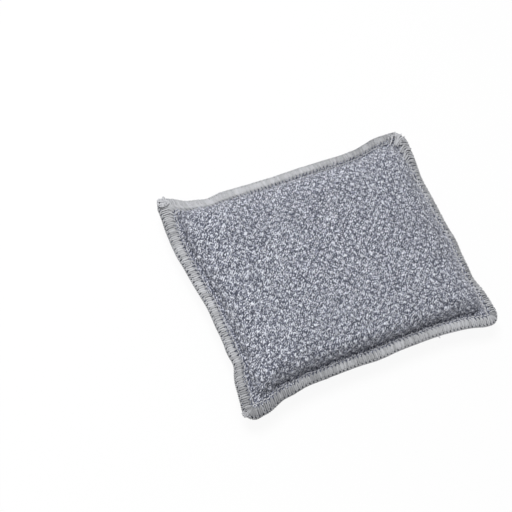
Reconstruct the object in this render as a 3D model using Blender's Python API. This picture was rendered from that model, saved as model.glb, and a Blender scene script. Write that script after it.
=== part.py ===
"""Microfibre scouring sponge, for Blender 4.5. Metres, +Z up.

A foam block lies between two cut faces of knotted microfibre cloth. A three-thread
overlock seam holds the two cloths together all round, outside the foam. It pulls the
sides in and leaves the four corners standing out as ears.

The sponge lies on its lower cloth with its long side along X. The origin is on the
table, under the middle of the seam's outline.

Every piece is first worked out on a straight rectangle with round corners, and then
taken to the sewn shape by one function, sewn(), so that neighbours keep their gap.
"""

from collections import namedtuple

import bmesh
import bpy
import numpy as np

MM = 0.001

# Outline of the seam, from corner tip to corner tip
SEAM_LENGTH = 142.0 * MM
SEAM_WIDTH = 113.0 * MM
CORNER_RADIUS = 6.0 * MM
TIGHT_RADIUS = 1.0 * MM

# Foam and cloth
FOAM_THICKNESS = 19.5 * MM
FOAM_MARGIN = 2.0 * MM
CLOTH_THICKNESS = 1.2 * MM
CUT_SLANT = 0.8 * MM
PRESSED_FLAT = 1.15

# Nubs of the cloth: a square repeat with a nub at each corner and one in its middle
NUB_REPEAT_LONG = 5.17 * MM
NUB_REPEAT_WIDE = 5.0 * MM
NUB_HEIGHT = 1.0 * MM

# Overlock seam
LOOPER_REACH = 5.4 * MM
LOOPER_THICKNESS = 0.5 * MM
NEEDLE_THREAD_DIAMETER = 0.5 * MM

# Space left between pieces that touch on the real sponge
TOUCH_GAP = 0.3 * MM

# How each side is drawn in by the seam: how deep, round which place along the side,
# how far to each end of it, and how square the dip is
Pull = namedtuple("Pull", "depth middle reach squareness")
FAR_PULL = Pull(5.2 * MM, -9.0 * MM, 59.0 * MM, 6.0)
NEAR_PULL = Pull(5.0 * MM, 1.7 * MM, 62.0 * MM, 6.0)
LEFT_PULL = Pull(4.8 * MM, -13.0 * MM, 42.0 * MM, 2.0)
RIGHT_PULL = Pull(1.8 * MM, 1.0 * MM, 43.0 * MM, 6.0)
DRAWN_IN_POWER = 3

# How far each ear stands above the seam's own level, and where an ear starts, as the
# product of the shares of the way out along X and along Y
EAR_LIFT_FAR_LEFT = 0.6 * MM
EAR_LIFT_FAR_RIGHT = 1.5 * MM
EAR_LIFT_NEAR_LEFT = -1.0 * MM
EAR_LIFT_NEAR_RIGHT = 0.5 * MM
EAR_START = 0.35

# How finely the solids are divided
STATION_SPACING = 6.0 * MM
CORNER_STATIONS = 5
LOWER_LINE_STEP = 2
HIDDEN_LINE_STEPS = (1, 2, 3)

# Sizes that follow
HALF_LENGTH = SEAM_LENGTH / 2
HALF_WIDTH = SEAM_WIDTH / 2
CLOTH_EDGE = LOOPER_THICKNESS + TOUCH_GAP
NEEDLE_INSET = LOOPER_REACH + TOUCH_GAP + NEEDLE_THREAD_DIAMETER / 2
CREASE = NEEDLE_INSET + NEEDLE_THREAD_DIAMETER / 2 + TOUCH_GAP
CREASE_X = HALF_LENGTH - CREASE
CREASE_Y = HALF_WIDTH - CREASE
FOAM_BOTTOM = CLOTH_THICKNESS + TOUCH_GAP
FOAM_TOP = FOAM_BOTTOM + FOAM_THICKNESS
SEAM_LEVEL = (FOAM_BOTTOM + FOAM_TOP) / 2
CLOTH_RISE = FOAM_THICKNESS / 2 + TOUCH_GAP / 2

CLOTH_COLOUR = (0.27, 0.28, 0.34)
FOAM_COLOUR = (0.72, 0.70, 0.62)
THREAD_COLOUR = (0.42, 0.44, 0.43)


def clear_scene():
    for thing in list(bpy.data.objects):
        bpy.data.objects.remove(thing, do_unlink=True)


def dip(place, pull):
    """How far a side is drawn in at a place along it: the depth times the square of
    one minus the share of the reach to a power."""
    share = np.clip(np.abs(place - pull.middle) / pull.reach, 0, 1)
    return pull.depth * (1 - share**pull.squareness) ** 2


def sewn(points):
    """Takes points from the straight rectangle to the sewn shape. A side moves in by
    its dip, times the third power of the share of the way out to it. An ear is lifted
    by the square of how far the place is past the ear's start."""
    x, y, z = np.asarray(points, dtype=float).T
    out_x, out_y = np.abs(x) / HALF_LENGTH, np.abs(y) / HALF_WIDTH
    side_dip = np.where(x < 0, dip(y, LEFT_PULL), dip(y, RIGHT_PULL))
    end_dip = np.where(y < 0, dip(x, NEAR_PULL), dip(x, FAR_PULL))
    left = np.where(y < 0, EAR_LIFT_NEAR_LEFT, EAR_LIFT_FAR_LEFT)
    right = np.where(y < 0, EAR_LIFT_NEAR_RIGHT, EAR_LIFT_FAR_RIGHT)
    past_start = np.clip((out_x * out_y - EAR_START) / (1 - EAR_START), 0, None)
    return np.column_stack((
        x - np.sign(x) * side_dip * out_x**DRAWN_IN_POWER,
        y - np.sign(y) * end_dip * out_y**DRAWN_IN_POWER,
        z + np.where(x < 0, left, right) * past_start**2,
    ))


def swell(x, y):
    """From 0 at the crease to 1 in the middle: the square root of the product of one
    minus the fourth power of the share of the way out, along X and along Y."""
    across = np.clip(np.abs(x) / CREASE_X, 0, 1)
    along = np.clip(np.abs(y) / CREASE_Y, 0, 1)
    return np.sqrt((1 - across**4) * (1 - along**4))


def inner_height(x, y, side):
    """Height of the cloth's inner face, side +1 for the upper and -1 for the lower
    cloth. The lower one is pressed flat where it lies on the table."""
    lift = swell(x, y) if side > 0 else np.minimum(swell(x, y) * PRESSED_FLAT, 1)
    return SEAM_LEVEL + side * (TOUCH_GAP / 2 + CLOTH_RISE * lift)


def cloth_face(x, y, side, offset):
    """Points of a face that lies offset outside the cloth's inner face, along its
    normal, which is taken from the slope. In the band it points straight out."""
    step = 0.01 * MM
    slope_x = (inner_height(x + step, y, side) - inner_height(x - step, y, side)) / (2 * step)
    slope_y = (inner_height(x, y + step, side) - inner_height(x, y - step, side)) / (2 * step)
    in_band = (np.abs(x) > CREASE_X - step) | (np.abs(y) > CREASE_Y - step)
    slope_x, slope_y = np.where(in_band, 0, slope_x), np.where(in_band, 0, slope_y)
    length = np.sqrt(slope_x**2 + slope_y**2 + 1)
    return np.column_stack((
        x - side * slope_x / length * offset,
        y - side * slope_y / length * offset,
        inner_height(x, y, side) + side * offset / length,
    ))


def round_corners(points):
    """Presses the square corners of the cloth's edge to arcs. A point's square reach
    from the arc's centre, its larger coordinate, becomes its round reach."""
    radius = CORNER_RADIUS - CLOTH_EDGE
    centre = np.array((HALF_LENGTH, HALF_WIDTH)) - CORNER_RADIUS
    reach = np.clip(np.abs(points[:, :2]) - centre, 0, None) / radius
    corner = reach.min(axis=1) > 0
    squeeze = reach[corner].max(axis=1) / np.hypot(*reach[corner].T)
    rounded = centre + radius * reach[corner] * squeeze[:, None]
    points[corner, :2] = np.sign(points[corner, :2]) * rounded
    return points


def slanted_cut(points):
    """Sets the inner face's border back from the cut edge, in step with how far a
    point is out from the crease."""
    crease = np.array((CREASE_X, CREASE_Y))
    band = np.array((HALF_LENGTH, HALF_WIDTH)) - CLOTH_EDGE - crease
    out = np.clip(np.abs(points[:, :2]) - crease, 0, None) / band
    points[:, :2] -= np.sign(points[:, :2]) * out * CUT_SLANT
    return points


def field_count(repeat, crease):
    """Rows of nubs and pits from the middle to the foot of the slope."""
    return int((crease - FOAM_MARGIN) / (repeat / 2))


def mirrored(half):
    """Lines on both sides of the middle, from those on one side."""
    half = np.unique(half)
    return np.concatenate((-half[half > 0][::-1], half))


def field_lines(repeat, crease, step=1):
    """Every step-th row of nubs and pits, counted from the outermost."""
    rows = np.arange(field_count(repeat, crease), -1, -step)
    return mirrored(rows * repeat / 2)


def hidden_lines(repeat, crease):
    """Few rows for a face that doesn't show, closer together near the crease. They
    are all rows of the lower cloth's outer face too, because the steps are its own
    or twos and threes of it."""
    row, steps = field_count(repeat, crease), list(HIDDEN_LINE_STEPS)
    rows = []
    while row >= 0:
        rows.append(row)
        row -= LOWER_LINE_STEP * (steps.pop(0) if len(steps) > 1 else steps[0])
    return mirrored(np.array(rows) * repeat / 2)


def with_band(lines, crease, half_side):
    """Adds the crease, the middle of the band and the cloth's edge."""
    edge = half_side - CLOTH_EDGE
    band = np.array([crease, (crease + edge) / 2, edge])
    return np.concatenate((-band[::-1], lines, band))


def plan_lines(kind):
    """The X and Y lines of a cloth face: kind fine, lower or hidden."""
    sides = ((NUB_REPEAT_LONG, CREASE_X, HALF_LENGTH), (NUB_REPEAT_WIDE, CREASE_Y, HALF_WIDTH))
    choose = {
        "fine": lambda repeat, crease: field_lines(repeat, crease),
        "lower": lambda repeat, crease: field_lines(repeat, crease, LOWER_LINE_STEP),
        "hidden": hidden_lines,
    }[kind]
    return [with_band(choose(repeat, crease), crease, half) for repeat, crease, half in sides]


def nub_relief(x, y):
    """Nub height on the nubs and nothing on the pits between them: rows along X and
    along Y alternate, and there are none outside the crease."""
    row_x = np.round(x / (NUB_REPEAT_LONG / 2)).astype(int)
    row_y = np.round(y / (NUB_REPEAT_WIDE / 2)).astype(int)
    in_field = (np.abs(x) < CREASE_X - MM) & (np.abs(y) < CREASE_Y - MM)
    return np.where(in_field & ((row_x + row_y) % 2 == 0), NUB_HEIGHT, 0)


def add_sheet(mesh, lines_x, lines_y, points_at):
    """Adds a grid whose points come from points_at(x, y). Returns its vertices as a
    table, one row for each line along X."""
    columns, rows = len(lines_x), len(lines_y)
    made = bmesh.ops.create_grid(mesh, x_segments=columns - 1, y_segments=rows - 1, size=0.5)
    table = np.array(made["verts"], dtype=object).reshape(rows, columns)
    grid_x, grid_y = np.meshgrid(lines_x, lines_y)
    places = sewn(points_at(grid_x.ravel(), grid_y.ravel()))
    for vertex, place in zip(table.ravel(), places):
        vertex.co = place
    return table


def border(table, lines_x, lines_y):
    """The vertices round a sheet in order, each with the lines that it lies on."""
    last_row, last_column = table.shape[0] - 1, table.shape[1] - 1
    walk = [(0, c) for c in range(last_column)]
    walk += [(r, last_column) for r in range(last_row)]
    walk += [(last_row, c) for c in range(last_column, 0, -1)]
    walk += [(r, 0) for r in range(last_row, 0, -1)]
    return [((round(lines_x[c], 7), round(lines_y[r], 7)), table[r, c]) for r, c in walk]


def join_borders(mesh, fine, coarse):
    """Closes the wall between two sheets. Each edge of the coarse border, whose lines
    are all lines of the fine one too, gets one face down to the fine vertices."""
    key_of = [key for key, _ in fine]
    starts = [key_of.index(key) for key, _ in coarse]
    for place, (_, vertex) in enumerate(coarse):
        following = coarse[(place + 1) % len(coarse)][1]
        first, last = starts[place], starts[(place + 1) % len(coarse)]
        count = (last - first) % len(fine)
        stretch = [fine[(first + k) % len(fine)][1] for k in range(count + 1)]
        mesh.faces.new([vertex, *stretch, following])


def split_at_pits(mesh, table, lines_x, lines_y):
    """Splits each square of the nubbed face from pit to pit, so that every nub is a
    four-sided bud. The pits of a square are its two corners with no relief."""
    relief = nub_relief(*np.meshgrid(lines_x, lines_y))
    height_of = dict(zip(table.ravel(), relief.ravel()))
    for face in [f for f in mesh.faces if all(v in height_of for v in f.verts)]:
        pits = [v for v in face.verts if height_of[v] == 0]
        if len(pits) == 2:
            bmesh.utils.face_split(face, *pits)


def material(name, colour, roughness):
    made = bpy.data.materials.new(name)
    made.use_nodes = True
    shader = made.node_tree.nodes["Principled BSDF"]
    shader.inputs["Base Color"].default_value = (*colour, 1)
    shader.inputs["Roughness"].default_value = roughness
    shader.inputs["Metallic"].default_value = 0
    return made


def add_object(name, mesh, finish, parts, parent):
    """Turns the faces outwards and puts the finished mesh in the scene. All faces agree
    after the first call, and the sign of the volume tells which way they agree."""
    bmesh.ops.recalc_face_normals(mesh, faces=mesh.faces)
    if mesh.calc_volume(signed=True) < 0:
        bmesh.ops.reverse_faces(mesh, faces=mesh.faces)
    data = bpy.data.meshes.new(name)
    mesh.to_mesh(data)
    mesh.free()
    data.materials.append(finish)
    thing = bpy.data.objects.new(name, data)
    parts.objects.link(thing)
    thing.parent = parent
    return thing


def make_cloth(name, side, finish, parts, parent):
    """A cloth with its inner face against the foam. The upper one has its nubs raised.
    The lower one lies on them, so its outer face is smooth here."""
    mesh = bmesh.new()
    kind = "fine" if side > 0 else "lower"
    outer_lines, inner_lines = plan_lines(kind), plan_lines("hidden")

    def outer_points(x, y):
        relief = nub_relief(x, y) if side > 0 else 0
        return round_corners(cloth_face(x, y, side, CLOTH_THICKNESS + relief))

    def inner_points(x, y):
        return slanted_cut(round_corners(cloth_face(x, y, side, 0)))

    outer = add_sheet(mesh, *outer_lines, outer_points)
    inner = add_sheet(mesh, *inner_lines, inner_points)
    if side > 0:
        split_at_pits(mesh, outer, *outer_lines)
    join_borders(mesh, border(outer, *outer_lines), border(inner, *inner_lines))
    return add_object(name, mesh, finish, parts, parent)


def make_foam(finish, parts, parent):
    """The foam block, bulged to the pocket that it fills, with upright cut sides."""
    mesh = bmesh.new()
    lines = [hidden_lines(NUB_REPEAT_LONG, CREASE_X), hidden_lines(NUB_REPEAT_WIDE, CREASE_Y)]
    top = add_sheet(mesh, *lines, lambda x, y: cloth_face(x, y, 1, -TOUCH_GAP))
    bottom = add_sheet(mesh, *lines, lambda x, y: cloth_face(x, y, -1, -TOUCH_GAP))
    join_borders(mesh, border(top, *lines), border(bottom, *lines))
    return add_object("foam_core", mesh, finish, parts, parent)


def seam_path(inset):
    """Plan points of a closed loop at an inset from the seam's outer edge: four sides
    and four arcs, with the same number of points for every inset."""
    radius = max(CORNER_RADIUS - inset, TIGHT_RADIUS)
    centre = np.array((HALF_LENGTH, HALF_WIDTH)) - inset - radius
    path = []
    for quarter, signs in enumerate(((1, 1), (-1, 1), (-1, -1), (1, -1))):
        turn = (quarter + np.linspace(0, 1, CORNER_STATIONS + 1)) * np.pi / 2
        path.append(centre * signs + radius * np.column_stack((np.cos(turn), np.sin(turn))))
        side = centre[quarter % 2] * 2
        count = int(np.ceil((SEAM_LENGTH, SEAM_WIDTH)[quarter % 2] / STATION_SPACING))
        along = np.linspace(0, 1, count + 1)[1:-1, None]
        run = np.array(((-side, 0), (0, -side), (side, 0), (0, side))[quarter])
        path.append(path[-1][-1] + along * run)
    return np.concatenate(path)


def make_ring(name, section, finish, parts, parent):
    """A thread laid round the whole seam. section lists its outline as pairs of inset
    from the seam's edge and height over the table. It starts as a torus, whose points
    are then put round the path, a section at each station."""
    loops = [
        sewn(np.column_stack((seam_path(inset), np.full(len(seam_path(inset)), height))))
        for inset, height in section
    ]
    points = np.stack(loops, axis=1).reshape(-1, 3)
    bpy.ops.mesh.primitive_torus_add(
        major_segments=len(loops[0]), minor_segments=len(section), major_radius=HALF_WIDTH,
        minor_radius=LOOPER_REACH,
    )
    start = bpy.context.object
    mesh = bmesh.new()
    mesh.from_mesh(start.data)
    bpy.data.objects.remove(start, do_unlink=True)
    mesh.verts.ensure_lookup_table()
    for vertex, point in zip(mesh.verts, points):
        vertex.co = point
    return add_object(name, mesh, finish, parts, parent)


def looper_section(side):
    """A looper thread's band: over the cloth from the needle line to the edge, and
    round the edge to the middle of the seam, where the other looper meets it."""
    face = TOUCH_GAP / 2 + CLOTH_THICKNESS + TOUCH_GAP
    middle = TOUCH_GAP / 2
    outline = (
        (LOOPER_REACH, face),
        (LOOPER_THICKNESS, face),
        (LOOPER_THICKNESS, middle),
        (0, middle),
        (0, face - LOOPER_THICKNESS / 2),
        (LOOPER_THICKNESS, face + LOOPER_THICKNESS),
        (LOOPER_REACH, face + LOOPER_THICKNESS),
    )
    return [(inset, SEAM_LEVEL + side * height) for inset, height in outline]


def needle_section():
    """The needle thread's stitches, as one round thread that lies on the upper cloth
    between the looper and the crease."""
    radius = NEEDLE_THREAD_DIAMETER / 2
    level = SEAM_LEVEL + TOUCH_GAP / 2 + CLOTH_THICKNESS + TOUCH_GAP + radius
    corners = np.arange(5) * 2 * np.pi / 5
    return [(NEEDLE_INSET + radius * np.cos(a), level + radius * np.sin(a)) for a in corners]


def make_sponge():
    clear_scene()
    parts = bpy.data.collections.new("microfibre_scouring_sponge")
    bpy.context.scene.collection.children.link(parts)
    parent = bpy.data.objects.new("sponge", None)
    parts.objects.link(parent)

    make_foam(material("polyurethane foam", FOAM_COLOUR, 0.95), parts, parent)
    cloth = material("knotted microfibre cloth", CLOTH_COLOUR, 0.9)
    make_cloth("upper_cloth", 1, cloth, parts, parent)
    make_cloth("lower_cloth", -1, cloth.copy(), parts, parent)

    thread = material("textured polyester thread", THREAD_COLOUR, 0.6)
    make_ring("upper_looper_thread", looper_section(1), thread, parts, parent)
    make_ring("lower_looper_thread", looper_section(-1), thread.copy(), parts, parent)
    make_ring("needle_thread", needle_section(), thread.copy(), parts, parent)


make_sponge()
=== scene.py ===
"""Microfibre scouring sponge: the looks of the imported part, for Blender 4.5.

The real sponge is a foam block between two cut faces of knotted microfibre cloth,
closed all round by a three-thread overlock seam. The sections follow the order in
which it is made. Every shape is first worked out in millimetres on a straight
rectangle, then taken to the sewn shape by sewn(), as the solids are.
"""

from collections import namedtuple

import bpy
import numpy as np
from mathutils import Matrix


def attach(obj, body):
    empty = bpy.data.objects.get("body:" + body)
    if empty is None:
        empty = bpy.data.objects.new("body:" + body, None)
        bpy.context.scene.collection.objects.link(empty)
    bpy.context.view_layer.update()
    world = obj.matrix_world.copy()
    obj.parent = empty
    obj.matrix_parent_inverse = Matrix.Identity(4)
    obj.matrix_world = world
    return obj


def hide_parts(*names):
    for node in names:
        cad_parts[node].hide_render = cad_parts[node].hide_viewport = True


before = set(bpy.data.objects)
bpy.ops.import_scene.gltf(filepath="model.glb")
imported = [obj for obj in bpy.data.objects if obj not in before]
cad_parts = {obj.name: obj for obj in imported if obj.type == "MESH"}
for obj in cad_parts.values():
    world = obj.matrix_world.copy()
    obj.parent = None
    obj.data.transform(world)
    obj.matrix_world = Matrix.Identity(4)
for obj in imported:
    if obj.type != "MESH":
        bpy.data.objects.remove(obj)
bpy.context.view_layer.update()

scene = bpy.context.scene

# Foam block: open-celled polyurethane foam, cut from a sheet with straight sides. It
# lies loose in the pocket between the two cloths and gives the sponge its thickness.

MM = 0.001
# The seam's outer edge before it draws in, and the creases where the two cloths part
SEAM_LENGTH, SEAM_WIDTH, SEAM_LEVEL = 142.0, 113.0, 11.25
HALF_LENGTH, HALF_WIDTH = SEAM_LENGTH / 2, SEAM_WIDTH / 2
CREASE_X, CREASE_Y = 61.5, 47.1
# How a cloth swells over the foam, and is tucked in and folded at its creases
CLOTH_RISE, TOUCH_GAP, PRESSED_FLAT = 9.9, 0.3, 1.15
SIDE_FULLNESS, NEAR_FULLNESS, FAR_FULLNESS, SHOULDER = 11, 15, 7, 0.5
NEAR_TUCK, FAR_TUCK, LEFT_TUCK, RIGHT_TUCK, TUCK_REACH = 0.9, 0.3, 0.7, 0.0, 4.0
NEAR_FOLD, FOLD_HEIGHT, FOLD_REACH = 0.4, 4.0, 1.8
FOAM_MARGIN, FOAM_SPACING, FOAM_WALL_ROWS, FOAM_CELL = 2.6, 2.5, 5, 0.8

Pull = namedtuple("Pull", "depth middle reach squareness")
FAR_PULL = Pull(5.2, -9.0, 59.0, 6.0)
NEAR_PULL = Pull(5.0, 1.7, 62.0, 6.0)
LEFT_PULL = Pull(4.8, -13.0, 42.0, 2.0)
RIGHT_PULL = Pull(1.8, 1.0, 43.0, 6.0)
EAR_LIFTS = {"far_left": 0.6, "far_right": 1.5, "near_left": -1.0, "near_right": 0.5}
EAR_START = 0.35

# Waves that the seam's pull leaves in each side: middle along it, reach, depth inwards
FAR_WAVES = ((-55, 6, 1.6), (-45.5, 5, 1.7), (8, 14, -0.8), (22, 9, -0.7), (43, 6, 1.2),
             (49, 4, 0.7), (70, 3.2, 2.2))
NEAR_WAVES = ((-66, 5, -0.8), (-51, 5, 0.9), (-37, 6, 0.5), (2, 8, -0.7), (57, 8, 0.7))
LEFT_WAVES = ((-45, 7, 0.4), (-31, 4.5, 1.6), (-11, 6, -0.5), (20, 7, 0.6), (50, 8, 0.6))
RIGHT_WAVES = ((46, 8, 0.6), (27, 8, 0.6), (-9, 6, -0.9), (-31, 5, 0.9), (-48, 6, -0.7))


def bell(far):
    """Bell curve: the exponential of minus the square of how far off a place is."""
    return np.exp(-far**2)


def dip(place, pull, waves):
    """How far a side is drawn in at a place along it: the depth times the square of
    one minus the share of the reach to a power, and the waves, each a bell."""
    share = np.clip(np.abs(place - pull.middle) / pull.reach, 0, 1)
    drawn = pull.depth * (1 - share**pull.squareness) ** 2
    return drawn + sum(depth * bell((place - middle) / reach) for middle, reach, depth in waves)


def sewn(points):
    """Takes points from the straight rectangle to the sewn shape. A side moves in by
    its dip, times the third power of the share of the way out to it. An ear is lifted
    by its own height, times the square of how far the place is past the ear's start."""
    x, y, z = np.moveaxis(points, -1, 0)
    out_x, out_y = np.abs(x) / HALF_LENGTH, np.abs(y) / HALF_WIDTH
    side_dip = np.where(x < 0, dip(y, LEFT_PULL, LEFT_WAVES), dip(y, RIGHT_PULL, RIGHT_WAVES))
    end_dip = np.where(y < 0, dip(x, NEAR_PULL, NEAR_WAVES), dip(x, FAR_PULL, FAR_WAVES))
    left = np.where(y < 0, EAR_LIFTS["near_left"], EAR_LIFTS["far_left"])
    right = np.where(y < 0, EAR_LIFTS["near_right"], EAR_LIFTS["far_right"])
    past_start = np.clip((out_x * out_y - EAR_START) / (1 - EAR_START), 0, None)
    return np.stack((
        x - np.sign(x) * side_dip * out_x**3,
        y - np.sign(y) * end_dip * out_y**3,
        z + np.where(x < 0, left, right) * past_start**2,
    ), axis=-1)


def inner_face(x, y, side):
    """Inner face of a cloth, side +1 for the upper and -1 for the lower one: it rises
    from the crease by the product of one minus the share of the way out to the power
    of the fullness, along X and along Y, all to the power of the shoulder. The lower
    one is pressed flat where it lies on the table. Each crease is then tucked in by
    a bell about it. The near crease alone is also folded in under the swell, by a bell
    of the height times a bell of the distance out."""
    across = np.clip(np.abs(x) / CREASE_X, 0, 1)
    along = np.clip(np.abs(y) / CREASE_Y, 0, 1)
    fullness = np.where(y < 0, NEAR_FULLNESS, FAR_FULLNESS)
    swell = ((1 - across**SIDE_FULLNESS) * (1 - along**fullness)) ** SHOULDER
    lift = swell if side > 0 else np.minimum(swell * PRESSED_FLAT, 1)
    height = SEAM_LEVEL + side * (TOUCH_GAP / 2 + CLOTH_RISE * lift)
    tuck_x = np.where(x < 0, LEFT_TUCK, RIGHT_TUCK) * bell((np.abs(x) - CREASE_X) / TUCK_REACH)
    tuck_y = np.where(y < 0, NEAR_TUCK, FAR_TUCK) * bell((np.abs(y) - CREASE_Y) / TUCK_REACH)
    past = np.clip(np.abs(y) - CREASE_Y, 0, None)
    fold = NEAR_FOLD * bell(CLOTH_RISE * swell / FOLD_HEIGHT) * bell(past / FOLD_REACH)
    tuck_y += (y < 0) * (1 - across**SIDE_FULLNESS) * fold
    return np.stack((x - np.sign(x) * tuck_x, y - np.sign(y) * tuck_y, height), axis=-1)


def outward(points, side):
    """Unit normals of a grid of points, from the cross product of the steps along its
    rows and its columns."""
    normal = np.cross(np.gradient(points, axis=1), np.gradient(points, axis=0))
    return side * normal / np.linalg.norm(normal, axis=-1, keepdims=True)


def quads_of(at):
    """Quads between neighbouring rows and columns of a grid of point numbers."""
    return np.stack((at[..., :-1, :-1], at[..., :-1, 1:], at[..., 1:, 1:], at[..., 1:, :-1]),
                    -1).reshape(-1, 4)


def grid_faces(rows, columns, start=0, turned=False):
    """Quads of a grid whose points are numbered row by row."""
    quads = quads_of(start + np.arange(rows * columns).reshape(rows, columns))
    return quads[:, ::-1] if turned else quads


def border(rows, columns):
    """Numbers of the points round a grid's border, in order and each of them once."""
    at = np.arange(rows * columns).reshape(rows, columns)
    return np.concatenate((at[0, :-1], at[:-1, -1], at[-1, :0:-1], at[:0:-1, 0]))


def add_object(name, data):
    """Puts a mesh, a lamp or a camera in the scene."""
    made = bpy.data.objects.new(name, data)
    scene.collection.objects.link(made)
    return made


def add_piece(name, points, faces, material, replaced=None, values=None):
    """Puts a piece in the scene, from points in millimetres and lists of point
    numbers. values are numbers kept at each point, which its material reads."""
    mesh = bpy.data.meshes.new(name)
    mesh.from_pydata((points.reshape(-1, 3) * MM).tolist(), [], faces)
    mesh.polygons.foreach_set("use_smooth", np.ones(len(faces), bool))
    for label, value in (values or {}).items():
        kind = "FLOAT" if value.ndim == 1 else "FLOAT_VECTOR"
        kept = mesh.attributes.new(label, kind, "POINT")
        kept.data.foreach_set("value" if value.ndim == 1 else "vector", value.ravel())
    mesh.materials.append(material)
    piece = add_object(name, mesh)
    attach(piece, "root")
    if replaced:
        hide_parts(replaced)
    return piece


def colour(hex_value):
    """Linear colour of an sRGB hex value."""
    part = np.array([int(hex_value[i:i + 2], 16) for i in (1, 3, 5)]) / 255
    linear = np.where(part <= 0.04045, part / 12.92, ((part + 0.055) / 1.055) ** 2.4)
    return (*linear.tolist(), 1.0)


def add_node(material, kind, inputs=None, stops=None, **settings):
    """Adds a shader node to a material or a world. An input is a value, or a node and
    its output to link. The first two colour stops are the ramp's own, the rest new."""
    tree = material.node_tree
    made = tree.nodes.new("ShaderNode" + kind)
    for name, value in settings.items():
        setattr(made, name, value)
    for name, value in (inputs or {}).items():
        if isinstance(value, tuple) and isinstance(value[0], bpy.types.Node):
            tree.links.new(value[0].outputs[value[1]], made.inputs[name])
        else:
            made.inputs[name].default_value = value
    for place, (position, hex_value) in enumerate(stops or ()):
        ramp = made.color_ramp.elements
        stop = ramp[place] if place < 2 else ramp.new(position)
        stop.position, stop.color = position, colour(hex_value)
    return made


def new_material(name, constants):
    """A material and its Principled shader, with the inputs that are the same all over."""
    material = bpy.data.materials.new(name)
    material.use_nodes = True
    shader = material.node_tree.nodes["Principled BSDF"]
    for socket, value in constants.items():
        shader.inputs[socket].default_value = value
    return material, shader


def link(material, node, output, shader, socket):
    """Links a node's output to a socket of a material's or a world's shader."""
    material.node_tree.links.new(node.outputs[output], shader.inputs[socket])


# Polyurethane foam, blown and cut: matt and cream, with small open cells.
foam_material, foam_shader = new_material("polyurethane foam", {"Roughness": 0.95})
foam_place = add_node(foam_material, "TexCoord")
foam_cells = add_node(foam_material, "TexVoronoi", {
    "Vector": (foam_place, "Object"), "Scale": 1 / (FOAM_CELL * MM)})
foam_tint = add_node(foam_material, "ValToRGB", {"Fac": (foam_cells, "Distance")},
                     stops=((0.15, "#a89f84"), (0.6, "#e0dac6")))
foam_bump = add_node(foam_material, "Bump", {
    "Height": (foam_cells, "Distance"), "Strength": 0.8, "Distance": 0.3 * MM})
link(foam_material, foam_tint, "Color", foam_shader, "Base Color")
link(foam_material, foam_bump, "Normal", foam_shader, "Normal")

# Its two faces lie a touch away from the cloths, and straight walls join them.
foam_half = np.array((CREASE_X, CREASE_Y)) - FOAM_MARGIN
foam_counts = np.ceil(2 * foam_half / FOAM_SPACING).astype(int) + 1
foam_x, foam_y = np.meshgrid(*[np.linspace(-h, h, n) for h, n in zip(foam_half, foam_counts)])
foam_rows, foam_columns = foam_x.shape
foam_top, foam_bottom = [
    sewn(inner_face(foam_x, foam_y, side)) - side * np.array((0, 0, TOUCH_GAP))
    for side in (1, -1)
]
foam_ring = border(foam_rows, foam_columns)
foam_wall_share = np.linspace(0, 1, FOAM_WALL_ROWS + 2)[1:-1, None, None]
foam_wall = (1 - foam_wall_share) * foam_top.reshape(-1, 3)[foam_ring] \
    + foam_wall_share * foam_bottom.reshape(-1, 3)[foam_ring]
foam_points = np.concatenate([part.reshape(-1, 3) for part in (foam_top, foam_bottom, foam_wall)])
# Rings of point numbers from the upper face's border down the wall to the lower one's
foam_count = foam_rows * foam_columns
foam_levels = np.stack((
    foam_ring,
    *(2 * foam_count + np.arange(FOAM_WALL_ROWS * len(foam_ring)).reshape(FOAM_WALL_ROWS, -1)),
    foam_ring + foam_count,
))
foam_levels = np.column_stack((foam_levels, foam_levels[:, 0]))
foam_faces = np.concatenate((
    grid_faces(foam_rows, foam_columns),
    grid_faces(foam_rows, foam_columns, foam_count, turned=True),
    quads_of(foam_levels.T),
))
foam = add_piece("foam_block", foam_points, foam_faces.tolist(), foam_material,
                 "foam_core")

# Lower cloth: warp-knitted microfibre with curled knots of pale yarn on a slate-blue
# ground. It is cut flat, lies under the foam with its knots pressed against the
# table, and its edge is held in the seam.

CORNER_RADIUS = 6.0
CLOTH_THICKNESS, CLOTH_EDGE, CUT_SLANT = 1.2, 0.8, 0.8
SQUEEZED_SHARE, DOUBLED_THICKNESS, DOUBLED_FULL = 0.45, 0.65, 4.0
GRID_SPACING, TRIAL_STEP, INNER_STEP = 0.45, 4, 8
OUTLINE_POINTS = 4001
KNOT_STEP_LONG, KNOT_STEP_WIDE = 5.17 / 2, 5.0 / 2
KNOT_HEIGHT, KNOT_RADIUS, KNOT_SHIFT = 0.45, 0.6, 0.3
SIDE_CURL_AWAY, SIDE_CURL_RADIUS = 2.4, 0.55
CURL_RELIEF, CURL_WIDTH = 0.12, 0.55
CURL_COUNT, CURL_STATIONS, CURL_SIDES = 7400, 5, 3
# The smallest curl: its half length, how far it stands up, and its half thickness
CURL_LONG, CURL_LIFT, CURL_RADIUS = 0.25, 0.12, 0.09
# Distances in from the looper threads: where the pile starts to stand and is full, and
# where the needle stitches' dimples and the right side's fluff lie. A dimple is a stitch long.
PILE_FROM, PILE_FULL = 1.4, 4.0
DIMPLE_PLACE, DIMPLE_REACH, DIMPLE_DEPTH, DIMPLE_STEP = 1.7, 0.7, 0.3, 2.015
FLUFF_PLACE, FLUFF_REACH, FLUFF = 1.1, 1.0, 1.6
# How high over the table the lower cloth's inner face is where the cloth is clear of it and
# where it is pressed on it, and how far the ground between its knots then stays off it
TABLE_CLEAR, TABLE_PRESSED, PRESSED_GROUND = 2.4, 1.6, 0.45
TUFT_SIZE, YARN_BEND, STRAND_SPACING, CURL_STREAK = 0.55, 0.4, 1.0, 0.4
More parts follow.
